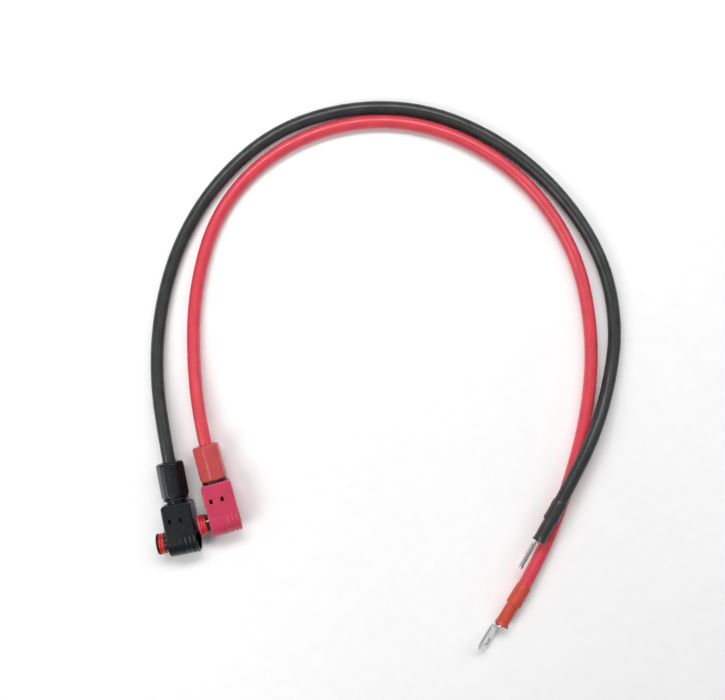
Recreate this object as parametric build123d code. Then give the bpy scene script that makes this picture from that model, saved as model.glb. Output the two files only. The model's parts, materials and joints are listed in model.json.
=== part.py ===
"""A pair of battery leads, one black and one red, lying on a flat surface.

Each lead has a right-angle quick plug on one end and a crimped terminal on the other. The frame's
origin is the centre of the mouth of the black plug's contact socket, which faces -X. The black
plug's cable leaves along +Y, and the surface that the leads lie on is at z = -end_r.

A plug is drawn about the point where its mating axis and its cable axis cross, with its nose
towards -X and its cable towards +Y. A terminal is drawn along +X from the cut end of the jacket.
"""

import math
import os

from build123d import *

# Housing
end_r = 11.3
flat_z = 10.7
half_width = 11.5
body_top = 29.0
collar_top = 3.65
top_corner_r = 3.2
edge_r = 1.0
cavity_z = 7.6
cavity_low_z = 6.2
cavity_waist = -1.1
cavity_low = -6.0
cavity_high = 25.0
cavity_back = 7.0
window_x = (-6.2, 2.4)
window_y = 16.3
window_wide = 2.5
window_tall = 3.6

# Release button and lock plate
button_front = -1.0
button_travel = 1.8
button_in_r = 9.3
core_r = 9.0
core_y = 2.1
core_wall = 0.8
lip_low = 1.0
groove_count = 3
groove_pitch = 3.4
groove_wide = 1.1
groove_deep = 0.9
tongue_low = -9.9
tongue_high = -8.7
plate_front = -8.2
plate_back = -7.2
latch_reach = 0.7
spring_x = 9.0
spring_z = 4.5
spring_r = 1.3
spring_in_r = 0.85

# Nose, seal and contact
nose_tip = -20.4
neck_end = -13.9
flange_back = -18.6
neck_r = 7.2
seal_seat_r = 6.9
tube_r = 6.4
seal_r = 8.0
flange_r = 8.2
nose_bore_r = 5.4
contact_mouth = -19.8
contact_r = 4.2
socket_r = 2.9
guard_r = 4.6
socket_deep = 12.0
crimp_r = 4.9
crimp_bore_r = 3.55
crimp_top = 23.0
crimp_floor = 8.0

# Cable gland
neck_gland_r = 7.7
thread_r = 8.2
thread_low = 33.6
spigot_top = 47.5
seal_bore_r = 7.05
nut_low = 31.2
nut_long = 27.5
nut_corner_r = 11.2
nut_mouth_r = 5.6
thread_play = 0.05
thread_pitch = 1.5
o_ring_r = 9.15
o_ring_wire_r = 0.8

# Cable and terminals
jacket_r = 5.0
jacket_start = 35.0
conductor_r = 3.45
barrel_r = 4.4
barrel_bore_r = 3.5
barrel_long = 18.2
shrink_wall = 0.75
shrink_on_jacket = 17.0
shrink_on_barrel = 18.0
lug_wide = 15.0
lug_thick = 2.0
lug_tip = 43.3
lug_hole_x = 35.0
lug_hole_r = 4.2
lug_roll = -57.0
pin_r = 1.8
pin_tip = 43.0
pin_roll = -75.0

# Where the two plugs stand, and how each gland nut is turned
black_place = Location((-contact_mouth, 0, 0))
red_heading = 4.0
red_lean = 7.0
red_place = Pos(53.7, 9.8, 1.35) * Rot(0, 0, red_heading) * Rot(0, red_lean, 0)
nut_turns_out = {"black": 1.2, "red": 0.0}
nut_roll = {"black": 1.0, "red": 38.0}

# Centre lines of the cables
black_route = [
    (19.8, 35, 0),
    (19.8, 72, 0),
    (21, 124, -4.4),
    (33, 175, -6.3),
    (57.5, 224.5, -6.3),
    (95, 266, -6.3),
    (147, 296.5, -6.3),
    (206, 304, -6.3),
    (265.5, 291.5, -6.3),
    (318.6, 255.6, -6.3),
    (357, 206.5, -6.3),
    (379, 151.5, -6.3),
    (379.5, 98, -6.3),
    (364.5, 54, -4.2),
    (343.5, 18, 4.3),
    (318.5, -14, 5.8),
    (298, -38.5, 6.0),
]
red_route = [
    (51.26, 44.71, 1.35),
    (48.54, 83.62, 1.35),
    (52.5, 140, -6.0),
    (64.5, 190, -6.3),
    (90, 241, -6.3),
    (132.5, 275.8, -6.3),
    (186, 292, -6.3),
    (241.8, 287.8, -6.3),
    (293.8, 261.8, -6.3),
    (335.2, 218.1, -6.3),
    (359.4, 160, -6.3),
    (360.5, 100, -6.3),
    (347, 42, -6.3),
    (321, -14, -6.0),
    (287.5, -67, -4.1),
    (258.9, -98.3, -3.1),
]


def block(x0, x1, y0, y1, z0, z1):
    """A box between two corners."""
    middle = ((x0 + x1) / 2, (y0 + y1) / 2, (z0 + z1) / 2)
    return Pos(*middle) * Box(x1 - x0, y1 - y0, z1 - z0)


def rod_x(radius, x0, x1, y=0.0, z=0.0):
    """A cylinder along X."""
    return Pos((x0 + x1) / 2, y, z) * Rot(0, 90, 0) * Cylinder(radius, x1 - x0)


def rod_y(radius, y0, y1, x=0.0, z=0.0):
    """A cylinder along Y."""
    return Pos(x, (y0 + y1) / 2, z) * Rot(90, 0, 0) * Cylinder(radius, y1 - y0)


def ring_x(outer, inner, x0, x1):
    return rod_x(outer, x0, x1) - rod_x(inner, x0 - 1, x1 + 1)


def ring_y(outer, inner, y0, y1):
    return rod_y(outer, y0, y1) - rod_y(inner, y0 - 1, y1 + 1)


def turned_x(profile):
    """A solid of revolution about X from (x, radius) points."""
    face = make_face(Polyline(*[(x, r, 0) for x, r in profile], close=True))
    return revolve(face, Axis.X, 360)


def turned_y(profile):
    """A solid of revolution about Y from (radius, y) points."""
    face = make_face(Polyline(*[(r, y, 0) for r, y in profile], close=True))
    return revolve(face, Axis.Y, 360)


def cavity_block(x0, x1, play):
    """A block with the cavity's section, narrower at its foot, smaller all round by the play."""
    wide = cavity_z - play
    narrow = cavity_low_z - play
    upper = block(x0, x1, cavity_waist + play, cavity_high - play, -wide, wide)
    return upper + block(x0, x1, cavity_low + play, cavity_high - play, -narrow, narrow)


def under_core(play):
    """What lies outside the core's wall in the rear half, where the cavity's corners are cut back."""
    below = block(button_front - 0.8 - play, cavity_back + 1, -12, core_y, -12, 12)
    return below - rod_x(core_r - core_wall - play, -half_width, half_width, y=core_y)


def cavity():
    """The room for the contact and its carrier, open at the front face."""
    room = cavity_block(-half_width - 1, cavity_back, 0) - under_core(0)
    cable_way = rod_y(jacket_r + 0.3, 20, thread_low + 1)
    return room + cable_way + rod_y(seal_bore_r, thread_low + 0.6, spigot_top + 1)


def lock_way():
    """The slots in which the lock plate's foot and the button's tongue travel."""
    foot_top = tongue_low - 0.1
    slide_top = tongue_high + button_travel + 0.1
    wide_foot = block(plate_front - 0.2, plate_back + 0.2, -8.5, cavity_waist + 0.5, -6.7, 6.7)
    tongue = block(plate_front - 0.2, button_front, foot_top, slide_top, -4.3, 4.3)
    return wide_foot + tongue


def button_room():
    """The space that the button takes around the rear half of the rounded end."""
    back = half_width + 1
    outside = block(button_front - 0.15, back, -end_r - 1, collar_top, -end_r - 1, end_r + 1)
    core = rod_x(core_r, button_front - 1, back + 1, y=core_y)
    neck = block(button_front - 1, back + 1, button_travel, collar_top + 1, -core_r, core_r)
    sides = block(button_front - 1, back + 1, lip_low + button_travel + 0.3, 9, -flat_z, flat_z)
    return outside - core - neck - sides


def spring_holes(low, radius):
    holes = rod_y(radius, low, -1.0, x=spring_x, z=spring_z)
    return holes + rod_y(radius, low, -1.0, x=spring_x, z=-spring_z)


def windows():
    """Two through slots in each flat side, where the inner pieces snap in."""
    cut = None
    for x in window_x:
        for side in (-1, 1):
            z = side * (flat_z + cavity_z) / 2
            hole = Pos(x, window_y, z) * Box(window_wide, window_tall, flat_z - cavity_z + 2)
            cut = hole if cut is None else cut + hole
    return cut


def housing():
    """The L-shaped shell: rounded end, flat sides, and the threaded spigot for the gland nut."""
    shell = block(-half_width, half_width, 0, body_top, -flat_z, flat_z)
    shell = shell + rod_x(flat_z, -half_width, half_width)
    corners = shell.edges().filter_by(Axis.Z).group_by(Axis.Y)[-1]
    shell = fillet(corners, top_corner_r)
    ends = shell.faces().filter_by(GeomType.PLANE).sort_by(Axis.X)
    shell = fillet(list(ends[0].edges()) + list(ends[-1].edges()), edge_r)
    rim = rod_x(end_r, -half_width, half_width)
    rim = rim + block(-half_width, half_width, 0, collar_top, -end_r, end_r)
    shell = shell + rim - button_room()
    shell = shell + rod_y(neck_gland_r, body_top - 2, thread_low + 0.1)
    shell = shell + rod_y(thread_r, thread_low, spigot_top)
    return shell - cavity() - lock_way() - windows() - spring_holes(-9, spring_r + 0.15)


def front_cover():
    """The cover plate in the front opening with the tube of the nose and two snap arms."""
    plate = cavity_block(-half_width, -8.5, 0.1)
    nose = turned_x(
        [
            (-half_width, 0),
            (-half_width, neck_r),
            (neck_end, neck_r),
            (neck_end, seal_seat_r),
            (flange_back, seal_seat_r),
            (flange_back, tube_r),
            (nose_tip + 0.3, tube_r),
            (nose_tip + 0.3, 0),
        ]
    )
    cover = plate + nose - rod_x(nose_bore_r, nose_tip - 1, -8)
    hook = window_x[0]
    for side in (-1, 1):
        arm = block(-8.6, hook + 1.0, window_y - 1.5, window_y + 1.5, 6.4, 7.4)
        tooth = block(hook - 1.0, hook + 1.0, window_y - 1.5, window_y + 1.5, 7.3, 9.0)
        cover = cover + (arm + tooth if side > 0 else mirror(arm + tooth, Plane.XY))
    return cover


def seal_retainer():
    """The rim pressed on the end of the nose, which keeps the seal on."""
    inner = tube_r + 0.03
    profile = [
        (flange_back, inner),
        (flange_back, flange_r),
        (nose_tip + 0.8, flange_r),
        (nose_tip + 0.25, flange_r - 0.25),
        (nose_tip, flange_r - 0.8),
        (nose_tip, inner),
    ]
    return turned_x(profile)


def interface_seal():
    """The soft ring on the nose, with a sealing bead at each end."""
    profile = [
        (neck_end - 0.1, seal_seat_r + 0.05),
        (neck_end - 0.1, seal_r - 0.35),
        (neck_end - 0.6, seal_r),
        (neck_end - 1.5, seal_r),
        (neck_end - 2.0, seal_r - 0.3),
        (neck_end - 2.7, seal_r - 0.3),
        (neck_end - 3.2, seal_r),
        (neck_end - 4.1, seal_r),
        (flange_back + 0.1, seal_r - 0.35),
        (flange_back + 0.1, seal_seat_r + 0.05),
    ]
    return turned_x(profile)


def contact():
    """The one-piece right-angle contact: a socket for a pin and a crimp barrel for the cable."""
    socket = rod_x(contact_r, contact_mouth, 3.5)
    elbow = block(-4.4, 4.4, -3.2, 6.0, -4.2, 4.2)
    barrel = rod_y(crimp_r, 0, crimp_top)
    pin_bore = rod_x(socket_r, contact_mouth - 1, contact_mouth + socket_deep)
    recess = ring_x(3.6, socket_r - 1, contact_mouth + 1.5, contact_mouth + 8.5)
    wire_bore = rod_y(crimp_bore_r, crimp_floor, crimp_top + 1)
    return socket + elbow + barrel - pin_bore - recess - wire_bore


def contact_spring():
    """The cage of spring slats in the socket's recess."""
    start = contact_mouth + 1.6
    end = contact_mouth + 8.4
    band = 0.9
    cage = ring_x(3.5, 3.0, start, start + band) + ring_x(3.5, 3.0, end - band, end)
    slat_ring = ring_x(3.3, 3.0, start, end)
    slats = 10
    for turn in range(slats):
        slat = Rot(turn * 360 / slats, 0, 0) * block(start, end, -0.45, 0.45, 2, 4)
        cage = cage + (slat_ring & slat)
    return cage


def touch_guard():
    """The insulating cap on the socket's mouth that keeps fingers off the metal."""
    cap = ring_x(guard_r, 3.2, nose_tip, contact_mouth - 0.05)
    skirt = ring_x(guard_r, contact_r + 0.05, contact_mouth - 0.06, contact_mouth + 3.3)
    return cap + skirt


def contact_carrier():
    """The insulator around the contact, slid in from the front and held by two teeth."""
    back = cavity_back - 0.1
    narrow = cavity_block(-6.6, back, 0.1) & block(-7, back, -7, cavity_high, -6.1, 6.1)
    wide = cavity_block(-0.5, back, 0.1)
    tooth_x = window_x[1]
    tooth = block(tooth_x - 1.0, tooth_x + 1.0, window_y - 1.5, window_y + 1.5, -9.0, 9.0)
    slot = block(-7, 0, 0, cavity_high, -5.0, 5.0)
    elbow = block(-4.5, 4.5, -3.3, 6.1, -4.6, 4.6)
    bores = rod_x(contact_r + 0.1, -7, 3.6) + rod_y(crimp_r + 0.1, -2, cavity_high)
    return narrow + wide + tooth - slot - elbow - bores - under_core(0.1)


def lock_plate():
    """The steel plate whose keyhole edge catches the groove of the mating half."""
    hole_r = nose_bore_r + 0.2
    latch = nose_bore_r - latch_reach
    plate = block(plate_front, plate_back, cavity_waist + 0.2, 8.5, -7.3, 7.3)
    plate = plate + block(plate_front, plate_back, -8.4, 0, -6.5, 6.5)
    plate = plate + block(plate_front, plate_back, tongue_low, -8.3, -3.5, 3.5)
    upper = rod_x(hole_r, plate_front - 1, plate_back + 1, y=latch - hole_r)
    lower = rod_x(hole_r, plate_front - 1, plate_back + 1, y=latch - hole_r - 0.8)
    return plate - upper - lower


def release_button():
    """The ribbed saddle around the rear half of the end, with the tongue that carries the plate."""
    back = half_width
    half_round = rod_x(end_r, button_front, back) & block(-20, 20, -20, 0.1, -20, 20)
    saddle = half_round + block(button_front, back, 0, collar_top - 0.05, -end_r, end_r)
    inside = rod_x(button_in_r, button_front - 1, back + 1)
    inside = inside + block(button_front - 1, back + 1, 0, 9, -button_in_r, button_in_r)
    above_lip = flat_z + 0.1
    inside = inside + block(button_front - 1, back + 1, lip_low, 9, -above_lip, above_lip)
    saddle = saddle - inside
    for number in range(groove_count):
        x = button_front + groove_pitch * (number + 1) - 0.6
        groove = ring_x(end_r + 1, end_r - groove_deep, x, x + groove_wide)
        low = block(x, x + groove_wide, -20, 0, -20, 20)
        side = block(x, x + groove_wide, 0, 9, end_r - groove_deep, 20)
        saddle = saddle - (groove & low) - side - mirror(side, Plane.XY)
    tongue = block(plate_back, button_front + 2, tongue_low, tongue_high, -3.9, 3.9)
    link = block(button_front, button_front + 2, -9.6, tongue_high, -3.9, 3.9)
    button = saddle + tongue + link
    for side in (-1, 1):
        button = button - rod_y(spring_r + 0.15, -8.7, -6, x=spring_x, z=side * spring_z)
    return button


def button_springs():
    """The two springs that return the button, as plain tubes of their outer size."""
    springs = None
    for z in (-spring_z, spring_z):
        tube = rod_y(spring_r, -8.6, -1.1, x=spring_x, z=z)
        tube = tube - rod_y(spring_in_r, -9, 0, x=spring_x, z=z)
        springs = tube if springs is None else springs + tube
    return springs


def cable_seal():
    """The ribbed grommet that the gland squeezes onto the jacket."""
    low = jacket_start + 0.4
    profile = [(jacket_r + 0.05, low), (seal_bore_r - 0.05, low)]
    rib = 2.6
    for number in range(3):
        y = low + number * rib
        profile.append((seal_bore_r - 0.05, y + 1.4))
        profile.append((seal_bore_r - 0.5, y + 1.7))
        profile.append((seal_bore_r - 0.5, y + 2.3))
        profile.append((seal_bore_r - 0.05, y + rib))
    profile.append((jacket_r + 0.05, low + 3 * rib))
    return turned_y(profile)


def clamp_cage(out):
    """The slotted ring that grips the jacket and is carried along by the nut."""
    low = 43.7 + out
    cage = ring_y(6.75, jacket_r + 0.4, low, low + 9.2)
    for turn in range(4):
        slot = block(-9, 9, low + 3.6, low + 10, -0.5, 0.5)
        cage = cage - Rot(0, turn * 45 + 22.5, 0) * slot
    return cage


def gland_nut(out, roll):
    """The long hexagonal nut with a domed cable end; the roll turns its corners from +X towards +Z."""
    low = nut_low + out
    top = low + nut_long
    hexagon = RegularPolygon(nut_corner_r, 6, rotation=-roll)
    prism = Pos(0, low, 0) * Rot(-90, 0, 0) * extrude(hexagon, nut_long)
    dome = [(0, low), (nut_corner_r - 0.7, low), (nut_corner_r, low + 0.8)]
    for step in range(7):
        angle = math.radians(step * 15)
        dome.append((nut_corner_r - 3.2 + 3.2 * math.cos(angle), top - 3.2 + 3.2 * math.sin(angle)))
    dome.append((0, top))
    nut = prism & turned_y(dome)
    bore = rod_y(thread_r + thread_play, low - 1, low + 17.4) + rod_y(7.1, low + 17, low + 22.2)
    cone = turned_y([(0, low + 22.1), (7.1, low + 22.1), (nut_mouth_r, low + 24.3), (0, low + 24.3)])
    return nut - bore - cone - rod_y(nut_mouth_r, low + 24, top + 1)


def gland_o_ring(out):
    """The round-section ring between the nut and the housing."""
    ring = Pos(0, nut_low - o_ring_wire_r - 0.25 + out, 0) * Rot(90, 0, 0)
    return ring * Torus(o_ring_r, o_ring_wire_r)


def conductor_plug_end():
    return rod_y(conductor_r, crimp_floor + 0.3, jacket_start - 0.1)


def corner_radii(points):
    """The largest tangent arcs that the runs of a route allow."""
    radii = []
    for before, corner, after in zip(points, points[1:], points[2:]):
        run_in = Vector(corner) - Vector(before)
        run_out = Vector(after) - Vector(corner)
        half_turn = math.radians(run_in.get_angle(run_out)) / 2
        radii.append(0.45 * min(run_in.length, run_out.length) / math.tan(half_turn))
    return radii


def cable_jacket(name, points):
    """The jacket as straight runs joined by tangent arcs."""
    radii = corner_radii(points)
    path = FilletPolyline(*points, radius=radii)
    start = Plane(origin=points[0], z_dir=path % 0)
    jacket = sweep(start * Circle(jacket_r), path=path)
    whole = math.pi * jacket_r**2 * path.length
    print(name, "length", round(path.length, 1), "volume / section x length", jacket.volume / whole)
    print(name, "radii", [round(radius) for radius in radii])
    return jacket


def terminal_place(points):
    """The placement that puts +X along the end of a route and +Z upwards."""
    forward = (Vector(points[-1]) - Vector(points[-2])).normalized()
    across = Vector(0, 0, 1).cross(forward).normalized()
    return Location(Plane(origin=points[-1], x_dir=forward, z_dir=forward.cross(across)))


def crimp_barrel():
    return rod_x(barrel_r, 0.8, barrel_long)


def ring_lug():
    """The tinned ring terminal: a crimped barrel flattened into a palm with a stud hole."""
    drop = lug_thick / 2 - barrel_r
    round_end = Plane(origin=(barrel_long - 0.1, 0, 0), x_dir=(0, 1, 0), z_dir=(1, 0, 0))
    flat_end = Plane(origin=(barrel_long + 4.0, 0, drop), x_dir=(0, 1, 0), z_dir=(1, 0, 0))
    sections = [round_end * Circle(barrel_r), flat_end * Rectangle(lug_wide, lug_thick)]
    neck = loft(sections)
    palm_low = drop - lug_thick / 2
    palm_high = drop + lug_thick / 2
    half = lug_wide / 2
    palm = block(barrel_long + 3.9, lug_tip, -half, half, palm_low, palm_high)
    palm = chamfer(palm.edges().filter_by(Axis.Z).group_by(Axis.X)[-1], 3.2)
    lug = crimp_barrel() + neck + palm - rod_x(barrel_bore_r, 0, barrel_long - 1.5)
    hole = Pos(lug_hole_x, 0, drop) * Cylinder(lug_hole_r, lug_thick * 3)
    return Rot(lug_roll, 0, 0) * (lug - hole)


def pin_terminal():
    """The tinned pin terminal: a crimped barrel with a round pin along one side of it."""
    drop = pin_r - barrel_r
    round_end = Plane(origin=(barrel_long, 0, 0), x_dir=(0, 1, 0), z_dir=(1, 0, 0))
    small_end = Plane(origin=(barrel_long + 2.0, 0, drop), x_dir=(0, 1, 0), z_dir=(1, 0, 0))
    neck = loft([round_end * Circle(barrel_r), small_end * Circle(pin_r)])
    pin = rod_x(pin_r, barrel_long + 2.0, pin_tip, z=drop)
    pin = chamfer(pin.edges().group_by(Axis.X)[-1], 0.7)
    barrel = crimp_barrel() + neck - rod_x(barrel_bore_r, 0, barrel_long - 2.5)
    return Rot(pin_roll, 0, 0) * (barrel + pin)


def heat_shrink():
    """The sleeve over the end of the jacket and the crimped barrel, a little flared at its end."""
    inside = [
        (-shrink_on_jacket, jacket_r + 0.05),
        (0.2, jacket_r + 0.05),
        (2.4, barrel_r + 0.05),
        (shrink_on_barrel - 3.0, barrel_r + 0.05),
        (shrink_on_barrel, barrel_r + 0.5),
    ]
    outside = [(x, r + shrink_wall) for x, r in inside]
    outside[0] = (inside[0][0], inside[0][1] + shrink_wall * 0.6)
    outside.insert(1, (inside[0][0] + 1.2, inside[0][1] + shrink_wall))
    return turned_x(inside + outside[::-1])


def conductor_terminal_end():
    return rod_x(conductor_r, 0, barrel_long - 3.0)


def plug(colour):
    """Every piece of one plug, about the crossing of its two axes."""
    out = nut_turns_out[colour] * thread_pitch
    return {
        "housing": housing(),
        "front_cover": front_cover(),
        "seal_retainer": seal_retainer(),
        "interface_seal": interface_seal(),
        "contact": contact(),
        "contact_spring": contact_spring(),
        "touch_guard": touch_guard(),
        "contact_carrier": contact_carrier(),
        "lock_plate": lock_plate(),
        "release_button": release_button(),
        "button_springs": button_springs(),
        "cable_seal": cable_seal(),
        "clamp_cage": clamp_cage(out),
        "gland_nut": gland_nut(out, nut_roll[colour]),
        "gland_o_ring": gland_o_ring(out),
        "conductor_plug_end": conductor_plug_end(),
    }


def cable_end(terminal):
    """Every piece on the far end of one cable, along +X from the cut end of the jacket."""
    return {
        "heat_shrink": heat_shrink(),
        "conductor_terminal_end": conductor_terminal_end(),
        terminal.__name__: terminal(),
    }


def lead(colour, place, route, terminal):
    pieces = {}
    for name, shape in plug(colour).items():
        pieces[f"{colour}_{name}"] = place * shape
    pieces[f"{colour}_cable_jacket"] = cable_jacket(colour, route)
    end_place = terminal_place(route)
    for name, shape in cable_end(terminal).items():
        pieces[f"{colour}_{name}"] = end_place * shape
    return pieces


def main():
    os.makedirs("parts", exist_ok=True)
    pieces = lead("black", black_place, black_route, pin_terminal)
    pieces.update(lead("red", red_place, red_route, ring_lug))
    for name, shape in pieces.items():
        export_step(shape, f"parts/{name}.step")


main()
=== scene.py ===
"""A pair of battery leads, black and red: right-angle quick plugs, loose cables and crimped ends."""

import json
import math

import bmesh
import bpy
from bpy.props import FloatProperty, FloatVectorProperty, PointerProperty
from mathutils import Matrix, Vector


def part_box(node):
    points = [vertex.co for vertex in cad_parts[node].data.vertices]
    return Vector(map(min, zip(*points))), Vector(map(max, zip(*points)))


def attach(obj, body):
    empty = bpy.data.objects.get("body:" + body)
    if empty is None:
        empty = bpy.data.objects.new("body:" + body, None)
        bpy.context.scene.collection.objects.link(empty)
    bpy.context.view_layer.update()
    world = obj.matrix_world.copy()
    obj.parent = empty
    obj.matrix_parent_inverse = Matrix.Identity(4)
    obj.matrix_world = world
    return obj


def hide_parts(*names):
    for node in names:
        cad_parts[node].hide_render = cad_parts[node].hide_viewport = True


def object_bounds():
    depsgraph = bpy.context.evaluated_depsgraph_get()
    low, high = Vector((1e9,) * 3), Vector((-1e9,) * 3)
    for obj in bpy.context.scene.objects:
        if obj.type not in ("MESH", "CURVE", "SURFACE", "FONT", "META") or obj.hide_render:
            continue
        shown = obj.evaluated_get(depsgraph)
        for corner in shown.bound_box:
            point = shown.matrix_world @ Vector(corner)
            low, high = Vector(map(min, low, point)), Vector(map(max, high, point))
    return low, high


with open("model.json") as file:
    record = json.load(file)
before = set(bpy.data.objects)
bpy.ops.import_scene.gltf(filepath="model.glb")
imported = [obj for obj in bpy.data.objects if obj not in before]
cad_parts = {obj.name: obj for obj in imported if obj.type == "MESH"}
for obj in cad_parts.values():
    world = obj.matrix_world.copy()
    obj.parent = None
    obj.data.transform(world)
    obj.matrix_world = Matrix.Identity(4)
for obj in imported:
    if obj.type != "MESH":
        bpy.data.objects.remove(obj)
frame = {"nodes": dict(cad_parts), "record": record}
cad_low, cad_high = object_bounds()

bl_info = {
    "name": "Battery lead pair",
    "version": (1, 0, 0),
    "blender": (4, 5, 0),
    "location": "View3D > Sidebar > Leads",
    "description": "Builds two battery leads with right-angle plugs around their packed frame",
    "category": "Object",
}

MM = 0.001
COLOURS = ("black", "red")
mounts = {mount["name"]: mount for mount in frame["record"]["mounts"]}
floor_z = cad_low.z

# Metres from a socket's mouth to the cable's axis
NOSE_REACH = 0.0198

# Turns about their own axes, in degrees
NUT_ROLLS = {"black": 1, "red": 38}
LUG_ROLL = -57
PIN_ROLL = -75

# Colours of dust and of the metals inside, and how high bumps stand in metres
DUST = (0.55, 0.54, 0.52, 1.0)
SILVER = (0.80, 0.79, 0.76)
GOLD = (0.83, 0.62, 0.30)
STEEL = (0.60, 0.60, 0.62)
COPPER = (0.74, 0.36, 0.21)
GRAIN_HEIGHT = 0.00003
LINE_HEIGHT = 0.0001

# Control points of the two cables' centre lines, from the gland to the crimped end
ROUTES = {
    "black": [
        (0.0198, 0.035, 0.0),
        (0.0198, 0.072, 0.0),
        (0.021, 0.124, -0.0044),
        (0.033, 0.175, -0.0063),
        (0.0575, 0.2245, -0.0063),
        (0.095, 0.266, -0.0063),
        (0.147, 0.2965, -0.0063),
        (0.206, 0.304, -0.0063),
        (0.2655, 0.2915, -0.0063),
        (0.3186, 0.2556, -0.0063),
        (0.357, 0.2065, -0.0063),
        (0.379, 0.1515, -0.0063),
        (0.3795, 0.098, -0.0063),
        (0.3645, 0.054, -0.0042),
        (0.3435, 0.018, 0.0043),
        (0.3185, -0.014, 0.0058),
        (0.298, -0.0385, 0.006),
    ],
    "red": [
        (0.05126, 0.04471, 0.00135),
        (0.04854, 0.08362, 0.00135),
        (0.0525, 0.14, -0.006),
        (0.0645, 0.19, -0.0063),
        (0.09, 0.241, -0.0063),
        (0.1325, 0.2758, -0.0063),
        (0.186, 0.292, -0.0063),
        (0.2418, 0.2878, -0.0063),
        (0.2938, 0.2618, -0.0063),
        (0.3352, 0.2181, -0.0063),
        (0.3594, 0.16, -0.0063),
        (0.3605, 0.1, -0.0063),
        (0.347, 0.042, -0.0063),
        (0.321, -0.014, -0.006),
        (0.2875, -0.067, -0.0041),
        (0.2589, -0.0983, -0.0031),
    ],
}


class LeadSizes(bpy.types.PropertyGroup):
    """Sizes of the leads that can be changed without a new frame."""

    jacket_radius: FloatProperty(
        name="Jacket radius",
        description="Outer radius of both cables",
        default=0.005,
        subtype="DISTANCE",
        unit="LENGTH",
    )
    groove_depth: FloatProperty(
        name="Grip groove depth",
        description="How deep the grooves of the release button are",
        default=0.0007,
        subtype="DISTANCE",
        unit="LENGTH",
    )
    nut_edge: FloatProperty(
        name="Nut edge rounding",
        description="Rounding of the gland nut's six long edges",
        default=0.0007,
        subtype="DISTANCE",
        unit="LENGTH",
    )
    sleeve_waver: FloatProperty(
        name="Sleeve unevenness",
        description="How far the shrunk sleeves stray from a true round",
        default=0.00016,
        subtype="DISTANCE",
        unit="LENGTH",
    )


class LeadColours(bpy.types.PropertyGroup):
    """Colours of the plastics, rubbers and metals."""

    red_plastic: FloatVectorProperty(
        name="Red housing", description="Body of the red plug", subtype="COLOR", size=3,
        default=(0.60, 0.044, 0.106), min=0, max=1,
    )
    red_nut_plastic: FloatVectorProperty(
        name="Red nut", description="Gland nut of the red plug", subtype="COLOR", size=3,
        default=(0.58, 0.066, 0.070), min=0, max=1,
    )
    red_jacket: FloatVectorProperty(
        name="Red cable", description="Jacket of the red cable", subtype="COLOR", size=3,
        default=(0.68, 0.050, 0.078), min=0, max=1,
    )
    red_shrink: FloatVectorProperty(
        name="Red sleeve", description="Shrunk sleeve of the red lead", subtype="COLOR", size=3,
        default=(0.56, 0.064, 0.040), min=0, max=1,
    )
    red_silicone: FloatVectorProperty(
        name="Interface seal", description="Soft ring on both noses", subtype="COLOR", size=3,
        default=(0.52, 0.012, 0.010), min=0, max=1,
    )
    black_plastic: FloatVectorProperty(
        name="Black housing", description="Body of the black plug", subtype="COLOR", size=3,
        default=(0.007, 0.009, 0.0105), min=0, max=1,
    )
    black_jacket: FloatVectorProperty(
        name="Black cable", description="Jacket of the black cable", subtype="COLOR", size=3,
        default=(0.020, 0.022, 0.022), min=0, max=1,
    )
    black_shrink: FloatVectorProperty(
        name="Black sleeve", description="Shrunk sleeve of the black lead", subtype="COLOR", size=3,
        default=(0.032, 0.032, 0.033), min=0, max=1,
    )
    black_rubber: FloatVectorProperty(
        name="Black rubber", description="O-rings and cable seals", subtype="COLOR", size=3,
        default=(0.008, 0.008, 0.009), min=0, max=1,
    )
    tin: FloatVectorProperty(
        name="Tin", description="Plating of the ring lug and the pin", subtype="COLOR", size=3,
        default=(0.70, 0.70, 0.71), min=0, max=1,
    )
    floor: FloatVectorProperty(
        name="Floor", description="Pale floor under the leads", subtype="COLOR", size=3,
        default=(0.95, 0.95, 0.95), min=0, max=1,
    )


# ---------------------------------------------------------------- places


def plug_place(colour):
    """Matrix from a plug's own axes, nose towards -X and cable towards +Y, to the frame."""
    mount = mounts["negative_socket" if colour == "black" else "positive_socket"]
    x_axis = -Vector(mount["axis"])
    y_axis = Vector((0, 0, 1)).cross(x_axis).normalized()
    crossing = Vector(mount["pos_m"]) + x_axis * NOSE_REACH
    return axes_matrix(x_axis, y_axis, crossing)


def end_place(colour, roll=0.0):
    """Matrix from a crimped end's own axes, +X along the cable's end, to the frame."""
    before, last = (Vector(point) for point in ROUTES[colour][-2:])
    x_axis = (last - before).normalized()
    y_axis = Vector((0, 0, 1)).cross(x_axis).normalized()
    place = axes_matrix(x_axis, y_axis, last)
    return place @ Matrix.Rotation(math.radians(roll), 4, "X")


def axes_matrix(x_axis, y_axis, origin):
    """Matrix of a place with its first two axes and its origin."""
    z_axis = x_axis.cross(y_axis)
    rows = [(x_axis[i], y_axis[i], z_axis[i], origin[i]) for i in range(3)]
    return Matrix(rows + [(0, 0, 0, 1)])


# ---------------------------------------------------------------- meshes


def mesh_piece(name, points, faces, place, sharp=32, flat_first=False):
    """An object from points in millimetres, smooth but for edges sharper than the angle."""
    mesh = bpy.data.meshes.new(name)
    mesh.from_pydata([place @ (Vector(point) * MM) for point in points], [], faces)
    edit = bmesh.new()
    edit.from_mesh(mesh)
    bmesh.ops.recalc_face_normals(edit, faces=edit.faces)
    edit.to_mesh(mesh)
    edit.free()
    piece = bpy.data.objects.new(name, mesh)
    bpy.context.scene.collection.objects.link(piece)
    soften(piece, sharp, flat_first)
    return piece


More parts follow.
